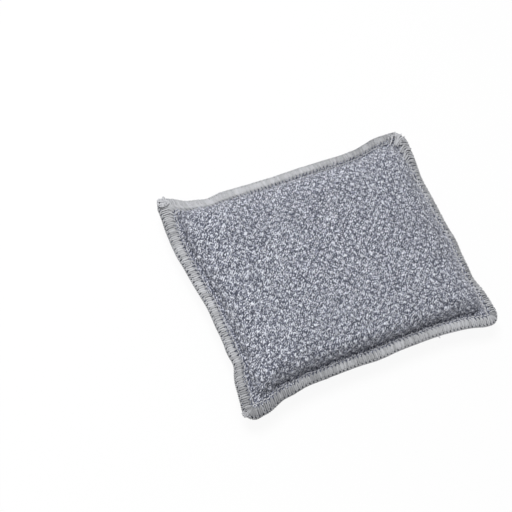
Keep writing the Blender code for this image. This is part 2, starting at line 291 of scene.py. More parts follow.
# How far in from the edge the looper threads reach, at angles round the sponge
REACH_ANGLES = (0, 40, 60, 95, 118, 133, 142, 160, 225, 240, 270, 308, 322)
REACHES = (3.4, 4.4, 5.6, 6.7, 7.9, 7.9, 5.9, 5.1, 5.2, 5.9, 6.2, 5.9, 4.2)
TRIAL_SCALE = 0.01
TRIAL_FRAMES = 24
LARGEST_MOVE = 1.0


def stitch_reach(x, y):
    """How far in from the edge the looper threads reach at a place in plan: straight
    lines between the reaches at the angles. A corner is 45 degrees from the middles of
    the two sides that meet at it."""
    angle = np.mod(np.arctan2(y / HALF_WIDTH, x / HALF_LENGTH), 2 * np.pi)
    return np.interp(angle, np.radians(REACH_ANGLES), REACHES, period=2 * np.pi)


def cloth_outline(crease, edge):
    """Distance along the cloth from its middle, and the place in plan of each. Over
    the pocket the distance is the sum of small steps along the swell's outline, and in
    the band the cloth is flat."""
    share = 1 - (1 - np.linspace(0, 1, OUTLINE_POINTS)) ** 3
    place, height = crease * share, CLOTH_RISE * (1 - share**SIDE_FULLNESS) ** SHOULDER
    distance = np.concatenate(([0], np.cumsum(np.hypot(np.diff(place), np.diff(height)))))
    return np.append(distance, distance[-1] + edge - crease), np.append(place, edge)


def round_corners(points):
    """Presses the square corners of the cloth's edge to arcs. A point's square reach
    from the arc's centre, its larger coordinate, becomes its round reach."""
    radius = CORNER_RADIUS - CLOTH_EDGE
    centre = np.array((HALF_LENGTH, HALF_WIDTH)) - CORNER_RADIUS
    reach = np.clip(np.abs(points[..., :2]) - centre, 0, None) / radius
    corner = reach.min(axis=-1) > 0
    squeeze = reach[corner].max(axis=-1) / np.hypot(*reach[corner].T)
    rounded = centre + radius * reach[corner] * squeeze[:, None]
    points[corner, :2] = np.sign(points[corner, :2]) * rounded
    return points


def trial_move(points, held, side):
    """Where a cloth settles: Blender's cloth simulation of a coarse grid, ten times
    the real size, held in the seam and pressed out by the foam. Returns the moves,
    capped, with none inwards, because the foam is there."""
    rows, columns = held.shape
    mesh = bpy.data.meshes.new("cloth_trial")
    faces = grid_faces(rows, columns, turned=side < 0)
    mesh.from_pydata((points.reshape(-1, 3) * TRIAL_SCALE).tolist(), [], faces.tolist())
    trial = add_object("cloth_trial", mesh)
    trial.vertex_groups.new(name="sewn").add(np.flatnonzero(held).tolist(), 1.0, "REPLACE")
    cloth = trial.modifiers.new("settle", "CLOTH")
    for setting, value in {
            "quality": 8, "mass": 0.2, "compression_stiffness": 20, "tension_stiffness": 20,
            "shear_stiffness": 8, "bending_stiffness": 0.3, "vertex_group_mass": "sewn",
            "shrink_min": -0.03, "use_pressure": True, "uniform_pressure_force": 3}.items():
        setattr(cloth.settings, setting, value)
    cloth.settings.effector_weights.gravity = 0
    cloth.collision_settings.use_collision = False
    cloth.point_cache.frame_start, cloth.point_cache.frame_end = 1, TRIAL_FRAMES
    for number in range(1, TRIAL_FRAMES + 1):
        scene.frame_set(number)
    settled = trial.evaluated_get(bpy.context.evaluated_depsgraph_get()).data
    places = np.zeros(rows * columns * 3)
    settled.vertices.foreach_get("co", places)
    scene.frame_set(1)
    bpy.data.objects.remove(trial)
    bpy.data.meshes.remove(mesh)
    move = places.reshape(rows, columns, 3) / TRIAL_SCALE - points
    normal = outward(points, side)
    out = (move * normal).sum(axis=-1, keepdims=True)
    move += normal * (np.clip(out, 0, LARGEST_MOVE) - out)
    size = np.linalg.norm(move, axis=-1, keepdims=True)
    return move * np.minimum(1, 1.5 * LARGEST_MOVE / np.maximum(size, 1e-9))


def finer(coarse_count, step):
    """Table that takes values on a coarse grid's lines to lines step times as close. It
    is the cubic that joins two values, with the slope at each taken from the values on
    its two sides."""
    place = np.arange((coarse_count - 1) * step + 1) / step
    left = np.minimum(place.astype(int), coarse_count - 2)
    t = place - left
    weights = (
        (-t + 2 * t**2 - t**3) / 2, (2 - 5 * t**2 + 3 * t**3) / 2,
        (t + 4 * t**2 - 3 * t**3) / 2, (-t**2 + t**3) / 2,
    )
    table = np.zeros((len(place), coarse_count))
    for offset, weight in zip((-1, 0, 1, 2), weights):
        np.add.at(table, (np.arange(len(place)), np.clip(left + offset, 0, coarse_count - 1)), weight)
    return table


def smooth_step(value, low, high):
    """0 below low, 1 above high, and a smooth rise between."""
    share = np.clip((value - low) / (high - low), 0, 1)
    return share * share * (3 - 2 * share)


def knots(flat_x, flat_y, draw):
    """Height and paleness of the knots, each from 0 to about 1. A knot stands at every
    lattice place whose row and column numbers have an even sum. It is a bump, the
    exponential of minus the 2.4th power of how far off it is, drawn out into a tail
    towards -X +Y, and turned, shifted and sized at random. A smaller curl, a bell, fills
    the hole beside it towards -X. The highest of the bumps over a point counts."""
    reach = np.ceil([flat_x.max() / KNOT_STEP_LONG, flat_y.max() / KNOT_STEP_WIDE]).astype(int) + 3
    chance = draw.random((6, 2 * reach[0] + 1, 2 * reach[1] + 1))
    near_x, near_y = np.round(flat_x / KNOT_STEP_LONG), np.round(flat_y / KNOT_STEP_WIDE)
    height, pale = np.zeros(flat_x.shape), np.zeros(flat_x.shape)
    for across in (-1, 0, 1):
        for along in (-1, 0, 1):
            column, row = (near_x + across).astype(int), (near_y + along).astype(int)
            shift_x, shift_y, size, glow, turn, curl = chance[:, column + reach[0], row + reach[1]]
            there = (column + row) % 2 == 0
            dx = flat_x - column * KNOT_STEP_LONG - KNOT_SHIFT * (shift_x - 0.5)
            dy = flat_y - row * KNOT_STEP_WIDE - KNOT_SHIFT * (shift_y - 0.5)
            angle = np.pi / 4 * (0.5 + turn)
            a = dx * np.cos(angle) - dy * np.sin(angle)
            b = dx * np.sin(angle) + dy * np.cos(angle)
            radius = KNOT_RADIUS * (1 + 0.2 * size)
            far = np.hypot(a / np.where(a < 0, 1.4, 1.0), b) / radius
            bump = there * np.exp(-far**2.4) * (0.85 + 0.25 * size)
            side_far = np.hypot(dx + SIDE_CURL_AWAY, (dy - 0.6 * (curl - 0.5)) * 1.2)
            side_bump = there * bell(side_far / SIDE_CURL_RADIUS) * (0.15 + 0.35 * curl)
            height = np.maximum(height, np.maximum(bump, side_bump))
            pale = np.maximum(pale, np.maximum(bump * (0.85 + 0.4 * glow), 0.9 * side_bump))
    return height, pale


def curled(shape, draw, width):
    """Smoothed random relief of curled yarn, with a spread of 1: random numbers, each
    the sum of its neighbours weighted by a bell of that width in grid steps."""
    steps = np.arange(-3, 4)
    weights = np.exp(-((steps / width) ** 2) / 2)
    rough = draw.standard_normal(shape)
    for axis in (0, 1):
        rough = sum(weight * np.roll(rough, step, axis) for weight, step in zip(weights, steps))
    return rough / rough.std()


def sample(grid, row, column):
    """Values of a grid at places between its lines: those of the four points round each,
    weighted by how near they are along its rows and its columns."""
    low_row = np.clip(row.astype(int), 0, grid.shape[0] - 2)
    low_column = np.clip(column.astype(int), 0, grid.shape[1] - 2)
    r, c = (row - low_row)[..., None], (column - low_column)[..., None]
    return (1 - r) * ((1 - c) * grid[low_row, low_column] + c * grid[low_row, low_column + 1]) \
        + r * ((1 - c) * grid[low_row + 1, low_column] + c * grid[low_row + 1, low_column + 1])


def add_curls(name, outer, side, pile, knot, draw):
    """Curls of yarn that stand out of a cloth, most of them on its knots. Each is a
    part of an ellipse laid on the cloth at any turn, lifted between its ends by half a
    sine, with a three-sided section that thins towards the ends. Places are drawn at
    random, and kept more often where the pile is high and on the knots."""
    rows, columns = pile.shape
    place = draw.random((5 * CURL_COUNT, 2)) * (rows - 1, columns - 1)
    nearest = np.round(place).astype(int)
    taken = pile[tuple(nearest.T)] * (0.12 + 0.88 * np.minimum(knot[tuple(nearest.T)], 1))
    place = place[draw.random(len(place)) < taken][:CURL_COUNT]
    start, sweep, long, wide, lean, hop, thick, tint = draw.random((8, len(place), 1))
    tint = 0.25 * tint + 0.7 * np.minimum(sample(knot[..., None], *place.T), 1)
    share = np.linspace(0, 1, CURL_STATIONS)
    angle = 2 * np.pi * start + (1.6 + 2.0 * sweep) * share
    long = (CURL_LONG + 0.4 * long) / GRID_SPACING
    step_a, step_b = long * np.cos(angle), long * (0.35 + 0.65 * wide) * np.sin(angle)
    lean = np.pi * lean
    row = np.clip(place[:, :1] + step_a * np.sin(lean) + step_b * np.cos(lean), 0, rows - 1)
    column = np.clip(place[:, 1:] + step_a * np.cos(lean) - step_b * np.sin(lean), 0, columns - 1)
    normal = sample(outward(outer, side), row, column)
    lift = 0.02 + (CURL_LIFT + 0.35 * hop) * np.sin(np.pi * share)
    centre = sample(outer, row, column) + normal * lift[..., None]
    ahead = np.gradient(centre, axis=1)
    across = np.cross(ahead, normal)
    across /= np.linalg.norm(across, axis=-1, keepdims=True)
    radius = (CURL_RADIUS + 0.05 * thick) * (1 - 0.5 * np.abs(2 * share - 1) ** 3)
    turn = np.pi / 2 + 2 * np.pi * np.arange(CURL_SIDES) / CURL_SIDES
    points = centre[:, :, None] + radius[..., None, None] * (
        np.cos(turn)[:, None] * across[:, :, None] + np.sin(turn)[:, None] * normal[:, :, None])
    points[..., 2] = np.maximum(points[..., 2], 0)
    at = np.arange(points.size // 3).reshape(points.shape[:3])
    ring = np.concatenate((at, at[:, :, :1]), axis=2)
    faces = quads_of(ring).tolist() + at[:, 0, ::-1].tolist() + at[:, -1].tolist()
    tints = np.broadcast_to(tint[..., None], points.shape[:3])
    return add_piece(name, points, faces, curl_material,
                     values={"tint": tints.reshape(-1)})


def make_cloth(name, side, seed):
    """A cloth, named as its solid, as a closed sheet: a fine outer grid with the knots
    raised on it, a coarse inner grid against the foam, and the cut edge between them.
    The outer grid stands off the inner face along its normal, by the thickness and the
    relief."""
    draw = np.random.default_rng(seed)
    outlines = [cloth_outline(CREASE_X, HALF_LENGTH - CLOTH_EDGE),
                cloth_outline(CREASE_Y, HALF_WIDTH - CLOTH_EDGE)]
    flat_half = [distance[-1] for distance, _ in outlines]
    counts = [INNER_STEP * int(2 * half / GRID_SPACING / INNER_STEP) + 1 for half in flat_half]
    flats = [np.linspace(-half, half, count) for half, count in zip(flat_half, counts)]
    lines = [np.sign(f) * np.interp(np.abs(f), *outline) for f, outline in zip(flats, outlines)]
    flat_x, flat_y = np.meshgrid(*flats)
    x, y = np.meshgrid(*lines)
    inner = sewn(round_corners(inner_face(x, y, side)))

    every = slice(None, None, TRIAL_STEP)
    held = (np.abs(x) >= CREASE_X) | (np.abs(y) >= CREASE_Y)
    move = trial_move(inner[every, every], held[every, every], side)
    up, across = finer(move.shape[0], TRIAL_STEP), finer(move.shape[1], TRIAL_STEP)
    inner = inner + np.einsum("ri,ijk,cj->rck", up, move, across)

    # The pile is squeezed flat in the seam, and the cloth is doubled up under the threads.
    # Each needle stitch pulls a dimple, and on the right side the pile fluffs up over it.
    to_side, to_end = flat_half[0] - np.abs(flat_x), flat_half[1] - np.abs(flat_y)
    from_edge = CLOTH_EDGE + np.minimum(to_side, to_end)
    past_threads = from_edge - stitch_reach(x, y)
    pile = smooth_step(past_threads, PILE_FROM, PILE_FULL)
    doubled = smooth_step(from_edge, CLOTH_EDGE, DOUBLED_FULL) \
        * (1 - smooth_step(past_threads, -0.5, 1.0))
    along_seam = np.where(to_side < to_end, y, x)
    # A dimple is sunk into the relief, and the shade also paints it darker as painted shade in its
    # hollow
    dimple = bell((past_threads - DIMPLE_PLACE) / DIMPLE_REACH) \
        * (0.55 + 0.45 * np.cos(2 * np.pi * along_seam / DIMPLE_STEP))
    right_side = (flat_x > 0) & (to_side < to_end)
    fluff = FLUFF * bell((past_threads - FLUFF_PLACE) / FLUFF_REACH) * right_side
    knot, pale = knots(flat_x, flat_y, draw)
    curl = curled(flat_x.shape, draw, CURL_WIDTH)
    relief = pile * (KNOT_HEIGHT * knot + CURL_RELIEF * curl) - DIMPLE_DEPTH * dimple
    thickness = CLOTH_THICKNESS * (SQUEEZED_SHARE + (1 - SQUEEZED_SHARE) * pile) \
        + DOUBLED_THICKNESS * doubled
    if side < 0:
        on_table = smooth_step(-inner[..., 2], -TABLE_CLEAR, -TABLE_PRESSED)
        pressed = thickness - PRESSED_GROUND * (1 - np.minimum(1.5 * knot, 1)) + 0.04 * curl
        relief = relief * (1 - on_table) + (pressed - thickness) * on_table
    outer = inner + outward(inner, side) * (thickness + relief)[..., None]
    outer[..., 2] = np.maximum(outer[..., 2], 0) if side < 0 else outer[..., 2]

    # The cut edge slants, so the inner grid's border lies a little further in. Each of its
    # steps is joined to the outer border's points beside it by one face.
    coarse = slice(None, None, INNER_STEP)
    under = inner[coarse, coarse].copy()
    rows, columns = outer.shape[:2]
    inner_rows, inner_columns = under.shape[:2]
    ring = border(inner_rows, inner_columns)
    flat_under = under.reshape(-1, 3)
    set_back = flat_under[ring] * (1, 1, 0)
    flat_under[ring] -= CUT_SLANT * set_back / np.linalg.norm(set_back, axis=1, keepdims=True)

    start = rows * columns
    fine_ring, coarse_ring = np.append(border(rows, columns), 0), start + np.append(ring, 0)
    beside = INNER_STEP * np.arange(len(ring))[:, None] + np.arange(INNER_STEP + 1)
    edge_faces = np.column_stack((coarse_ring[:-1], fine_ring[beside], coarse_ring[1:]))
    edge_faces = edge_faces[:, ::-1] if side > 0 else edge_faces
    faces = grid_faces(rows, columns, turned=side < 0).tolist() + edge_faces.tolist() \
        + grid_faces(inner_rows, inner_columns, start, turned=side > 0).tolist()

    # What the material reads: how pale the knots are, and a shade: random grain that varies
    # from grid point to grid point, with painted shade under the looper threads and in each
    # needle stitch's dimple. The inner grid is out of sight, so it has 0 for both.
    out_of_sight = np.zeros(inner_rows * inner_columns)
    grain = draw.standard_normal(flat_x.shape)
    grain = grain - sum(np.roll(grain, step, axis) for axis in (0, 1) for step in (-1, 1)) / 4
    # Knots are less pale beside the threads, where the pile is pressed flat: partly the pressed pile,
    # partly painted shade of the crease there
    pressed_pile_shade = 1 - smooth_step(past_threads, 1.8, 4.0)
    # Painted shade: the cloth is darker under the looper threads, where they shade it
    under_thread_shade = 1 - smooth_step(past_threads, 0.3, 1.3)
    paleness = np.minimum(1.3 * pale, 1.0) * (1 - 0.35 * pressed_pile_shade)
    shade = 0.15 * curl + 1.15 * grain - 0.5 * under_thread_shade - 0.25 * dimple
    values = {
        "knot": np.concatenate((paleness.ravel(), out_of_sight)),
        "shade": np.concatenate((shade.ravel(), out_of_sight)),
    }
    cloth = add_piece(name + "_face", np.concatenate((outer.reshape(-1, 3), flat_under)), faces,
                      cloth_material, name, values)
    curls = add_curls(name + "_curls", outer, side, np.maximum(pile, fluff),
                      np.maximum(knot, fluff), draw)


# Microfibre yarn, textured and knotted: soft and matt, with a sheen at a slant. The
# ground is a mix of slate and pale yarn, paler on the knots. Single fibres are too
# fine to show, so they are drawn as bent tufts of about 0.5 mm and as strands of about
# 0.15 mm. The tone is the tuft's own part, to which the shade, the knot, the way out from
# the tuft's middle and the strand are added, each times its weight. The way out from
# the tuft's middle darkens each tuft's rim, as painted shade in the crevices between
# tufts, and the shade brings painted shade under the threads and in the dimples.
cloth_material, cloth_shader = new_material("knotted microfibre cloth", {
    "Roughness": 0.9, "Specular IOR Level": 0.2, "Sheen Weight": 0.2, "Sheen Roughness": 0.5})
cloth_place = add_node(cloth_material, "TexCoord")
knot_value = add_node(cloth_material, "Attribute", attribute_name="knot")
yarn_bend = add_node(cloth_material, "TexNoise", {
    "Vector": (cloth_place, "Object"), "Scale": 1 / (YARN_BEND * MM), "Detail": 1.0})
yarn_place = add_node(cloth_material, "VectorMath", {
    0: (yarn_bend, "Color"), 1: (YARN_BEND * MM,) * 3, 2: (cloth_place, "Object")},
    operation="MULTIPLY_ADD")
tufts = add_node(cloth_material, "TexVoronoi", {
    "Vector": (yarn_place, 0), "Scale": 1 / (TUFT_SIZE * MM)})
strand_field = add_node(cloth_material, "TexNoise", {
    "Vector": (cloth_place, "Object"), "Scale": 1 / (STRAND_SPACING * MM), "Detail": 1.0,
    "Distortion": 1.2})
strand_off = add_node(cloth_material, "Math", {0: (strand_field, "Fac"), 1: 0.5},
                      operation="SUBTRACT")
strand_far = add_node(cloth_material, "Math", {0: (strand_off, 0)}, operation="ABSOLUTE")
strand = add_node(cloth_material, "MapRange", {
    "Value": (strand_far, 0), "From Min": 0.0, "From Max": 0.06, "To Min": 1.0, "To Max": 0.0})
tuft_part = add_node(cloth_material, "MapRange", {
    "Value": (tufts, "Color"), "From Min": 0.15, "From Max": 0.85, "To Min": -0.15, "To Max": 1.1})
shade_value = add_node(cloth_material, "Attribute", attribute_name="shade")
tuft_room = add_node(cloth_material, "Math", {
    0: (tuft_part, "Result"), 1: -0.4, 2: 0.95}, operation="MULTIPLY_ADD")
tone = tuft_part
# The tuft distance term is painted shade between the tufts
for part, output, weight in ((shade_value, "Fac", 0.5), (knot_value, "Fac", (tuft_room, 0)),
                             (tufts, "Distance", -0.5), (strand, "Result", 0.14)):
    tone = add_node(cloth_material, "Math", {
        0: (part, output), 1: weight, 2: (tone, 0)}, operation="MULTIPLY_ADD")
cloth_tint = add_node(cloth_material, "ValToRGB", {"Fac": (tone, 0)}, stops=(
    (0.0, "#4b4e5a"), (1.0, "#eff1f8"), (0.25, "#6e717f"), (0.5, "#9498a7"), (0.8, "#c6c9d6")))
cloth_bump = add_node(cloth_material, "Bump", {
    "Height": (tone, 0), "Strength": 0.7, "Distance": 0.25 * MM})
link(cloth_material, cloth_tint, "Color", cloth_shader, "Base Color")
link(cloth_material, cloth_bump, "Normal", cloth_shader, "Normal")

# The same yarn where it stands out in curls. Most are pale, so they sparkle on the
# ground, and some are slate.
curl_material, curl_shader = new_material("curled microfibre yarn", {
    "Roughness": 0.8, "Specular IOR Level": 0.3, "Sheen Weight": 0.2, "Sheen Roughness": 0.5})
curl_value = add_node(curl_material, "Attribute", attribute_name="tint")
curl_place = add_node(curl_material, "TexCoord")
curl_streaks = add_node(curl_material, "TexNoise", {
    "Vector": (curl_place, "Object"), "Scale": 1 / (CURL_STREAK * MM), "Detail": 1.0})
curl_tone = add_node(curl_material, "Math", {
    0: (curl_streaks, "Fac"), 1: 0.5, 2: (curl_value, "Fac")}, operation="MULTIPLY_ADD")
curl_tint = add_node(curl_material, "ValToRGB", {"Fac": (curl_tone, 0)}, stops=(
    (0.3, "#6b6e7b"), (1.0, "#eaecf4"), (0.5, "#9397a6"), (0.75, "#c8cbd7")))
link(curl_material, curl_tint, "Color", curl_shader, "Base Color")

make_cloth("lower_cloth", side=-1, seed=5)

# Upper cloth: the same cloth on top of the foam, with its knots standing free. The
# seam draws it in along the sides, and the foam swells it up between them.

make_cloth("upper_cloth", side=1, seed=11)

# Needle thread: textured polyester, which runs along the foot of the pile in short
# stitches and goes down through both cloths at every stitch.

STITCH_COUNT, NEEDLE_STATIONS = 248, 8
NEEDLE_GAP, NEEDLE_RADIUS, NEEDLE_FOOT, NEEDLE_ARCH = 0.7, 0.31, 0.35, 0.75
BAND_REACH, TIGHT_RADIUS = 5.1, 1.0
# Distances round the seam between which the threads are slack, and how fast that fades
SLACK_FROM, SLACK_TO, SLACK_FADE = 402.0, 503.0, 12.0
FILAMENTS_ACROSS, FILAMENTS_ALONG = 9.0, 0.7


def seam_length():
    """Length of the seam's straight outer edge: two long sides, two short, four arcs."""
    return 4 * (HALF_LENGTH + HALF_WIDTH - 2 * CORNER_RADIUS) + 2 * np.pi * CORNER_RADIUS


def seam_plan(along, inset):
    """Place in plan on the straight seam. along is the distance round its outer edge,
    from the start of the far right corner against the clock, and inset the distance
    in from the edge. A corner is an arc of the corner's radius less the inset, or of
    the tight radius where that is larger, and a side runs on from it to the next."""
    half = np.array((HALF_LENGTH, HALF_WIDTH))
    arc, sides = CORNER_RADIUS * np.pi / 2, 2 * (half - CORNER_RADIUS)
    starts = np.cumsum([0, arc + sides[0], arc + sides[1], arc + sides[0]])
    along = np.mod(along, seam_length())
    quarter = np.searchsorted(starts, along, side="right") - 1
    local = along - starts[quarter]
    turn = (quarter + np.clip(local / arc, 0, 1)) * np.pi / 2
    radius = np.maximum(CORNER_RADIUS - inset, TIGHT_RADIUS)
    centre = half - (inset + radius)[..., None]
    signs = np.array(((1, 1), (-1, 1), (-1, -1), (1, -1)))[quarter]
    run = np.array(((-1, 0), (0, -1), (1, 0), (0, 1)))[quarter]
    share = np.clip((local - arc) / sides[quarter % 2], 0, 1)
    return centre * signs + radius[..., None] * np.stack((np.cos(turn), np.sin(turn)), -1) \
        + 2 * centre * run * share[..., None]


def seam_place(along, inset, height):
    """Points of the seam, at a height over its middle."""
    plan = seam_plan(along, inset)
    return sewn(np.concatenate((plan, (SEAM_LEVEL + height)[..., None]), axis=-1))


def reach_along(along):
    """How far in the looper threads reach at distances round the seam."""
    return stitch_reach(*np.moveaxis(seam_plan(along, np.full_like(along, BAND_REACH)), -1, 0))


def corner_places():
    """Distances round the seam of the middles of its four corners, and of the first
    corner again a round on."""
    arc, sides = CORNER_RADIUS * np.pi / 2, 2 * (np.array((HALF_LENGTH, HALF_WIDTH)) - CORNER_RADIUS)
    return arc / 2 + np.cumsum([0, arc + sides[0], arc + sides[1], arc + sides[0], arc + sides[1]])


def slackness(along):
    """How slack the threads are at distances round the seam: 1 along the right side,
    where they are drawn less tight and lie apart, and 0 on the others, with a smooth
    rise and fall between."""
    start = SLACK_FROM - 5 * SLACK_FADE
    round_on = np.mod(along - start, seam_length()) + start
    return smooth_step(round_on, SLACK_FROM - SLACK_FADE, SLACK_FROM) \
        * (1 - smooth_step(round_on, SLACK_TO - SLACK_FADE, SLACK_TO))


def add_thread(name, centre, normal, half_width, half_thickness, tint, sides, closed,
               replaced=None):
    """A thread: an oval ring at each point of its path, wide across the normal and
    thin along it. Its material reads the place in the oval and the length along."""
    if closed:
        ahead = np.roll(centre, -1, 0) - np.roll(centre, 1, 0)
    else:
        ahead = np.gradient(centre, axis=0)
    ahead /= np.linalg.norm(ahead, axis=1, keepdims=True)
    across = np.cross(ahead, normal)
    across /= np.linalg.norm(across, axis=1, keepdims=True)
    up = np.cross(across, ahead)
    turn = np.arange(sides) * 2 * np.pi / sides
    wide = half_width[:, None] * np.cos(turn)
    thick = half_thickness[:, None] * np.sin(turn)
    points = centre[:, None] + wide[..., None] * across[:, None] + thick[..., None] * up[:, None]
    steps = np.linalg.norm(np.diff(centre, axis=0), axis=1)
    length = np.concatenate(([0], np.cumsum(steps)))
    place = np.stack((wide, thick, np.broadcast_to(length[:, None], wide.shape)), -1)
    count = len(centre)
    rings = np.arange(count * sides).reshape(count, sides)
    rings = np.column_stack((rings, rings[:, 0]))
    rings = np.vstack((rings, rings[:1])) if closed else rings
    faces = quads_of(rings).tolist()
    if not closed:
        faces += [rings[0, :-1][::-1].tolist(), rings[-1, :-1].tolist()]
    values = {
        "thread_place": place.reshape(-1, 3),
        "tint": np.repeat(tint, sides),
    }
    return add_piece(name, points, faces, thread_material, replaced, values)


def lifted(along, inset, height, out_inset, out_height, small=0.01):
    """Unit normals of the band at points of the seam, from a small step out of it."""
    step = seam_place(along, inset + small * out_inset, height + small * out_height) \
        - seam_place(along, inset, height)
    return step / np.linalg.norm(step, axis=-1, keepdims=True)


# Textured polyester thread: many loose filaments laid side by side, hardly twisted,
# with a soft satin gloss. A filament is too fine to show, so they are drawn about 0.1 mm
# wide, nine to a millimetre.
thread_material, thread_shader = new_material("textured polyester thread", {
    "Roughness": 0.65, "Specular IOR Level": 0.3, "Sheen Weight": 0.08, "Sheen Roughness": 0.4})
thread_place = add_node(thread_material, "Attribute", attribute_name="thread_place")
thread_tint_value = add_node(thread_material, "Attribute", attribute_name="tint")
filament_place = add_node(thread_material, "Mapping", {
    "Vector": (thread_place, "Vector"), "Scale": (FILAMENTS_ACROSS, FILAMENTS_ACROSS, FILAMENTS_ALONG)})
filaments = add_node(thread_material, "TexNoise", {
    "Vector": (filament_place, "Vector"), "Scale": 1.0, "Detail": 2.0, "Roughness": 0.6})
filament_tone = add_node(thread_material, "Math", {
    0: (thread_tint_value, "Fac"), 1: 0.3, 2: (filaments, "Fac")}, operation="MULTIPLY_ADD")
thread_tint = add_node(thread_material, "ValToRGB", {"Fac": (filament_tone, 0)},
                       stops=((0.3, "#8f9093"), (0.85, "#cbccd0"), (0.55, "#b5b6b9")))
thread_bump = add_node(thread_material, "Bump", {
    "Height": (filaments, "Fac"), "Strength": 0.6, "Distance": 0.1 * MM})
link(thread_material, thread_tint, "Color", thread_shader, "Base Color")
link(thread_material, thread_bump, "Normal", thread_shader, "Normal")

# Each stitch is an arch, a sine to the power 0.7, between two places where the thread
# goes down and is thin. The slack ones stand higher, thicker and less in line.
draw = np.random.default_rng(3)
pitch = seam_length() / STITCH_COUNT
beat = np.arange(STITCH_COUNT * NEEDLE_STATIONS) / NEEDLE_STATIONS
needle_stitch = beat.astype(int)
rise = np.abs(np.sin(np.pi * beat))
along = pitch * (beat + 0.5)
jitter = draw.standard_normal(STITCH_COUNT)[needle_stitch] * rise
loose = slackness(along)
fuzz = 0.3 + 1.4 * draw.random(STITCH_COUNT)[needle_stitch]
inset = reach_along(along) + NEEDLE_GAP + 0.3 * loose + (0.2 + 0.35 * loose) * jitter
height = NEEDLE_FOOT + (NEEDLE_ARCH + 0.4 * loose) * rise**0.7
thickness = NEEDLE_RADIUS * (1 + 0.4 * loose * fuzz) * (0.55 + 0.45 * rise**0.5)
needle_tint = 0.3 + 0.5 * loose + 0.9 * draw.random(STITCH_COUNT)[needle_stitch]
add_thread(
    "needle_stitches", seam_place(along, inset, height),
    lifted(along, inset, height, np.zeros_like(along), np.ones_like(along)),
    thickness, thickness, needle_tint, sides=6, closed=True, replaced="needle_thread")

# Lower looper thread: the same thread. It crosses the underside of the band from the
# needle line to the edge and back at every stitch, and its loops come up over the
# edge, where the upper looper catches them.

TURN_STATIONS, LANE_STATIONS = 7, 7
THREAD_LEVEL, EDGE_INSET, OVAL_POINTS = 1.88, 0.3, 700
TURN_DEPTH, EDGE_TURN, INNER_DIP, PINCH = 0.6, 0.85, 0.5, 0.36
LANE_HALF_WIDTH, END_HALF_WIDTH, LOOPER_HALF_THICKNESS = 0.45, 0.27, 0.25
# Spreads of a looper's random way: along the seam, across it at the outer and the inner
# ends of its lanes, out over the edge, and in its half width
LANE_WANDER, OUTER_WANDER, INNER_WANDER, EDGE_WANDER, WIDTH_WANDER = 0.06, 0.2, 0.25, 0.1, 0.035
# Where the thread is painted darker, as painted shade on parts of the band: distance
# round the seam, reach, and how much
SHADED_THREAD_PLACES = ((24, 32, 0.7), (156, 16, 0.6), (195, 35, 0.25), (262, 34, 1.1), (310, 40, 0.3))


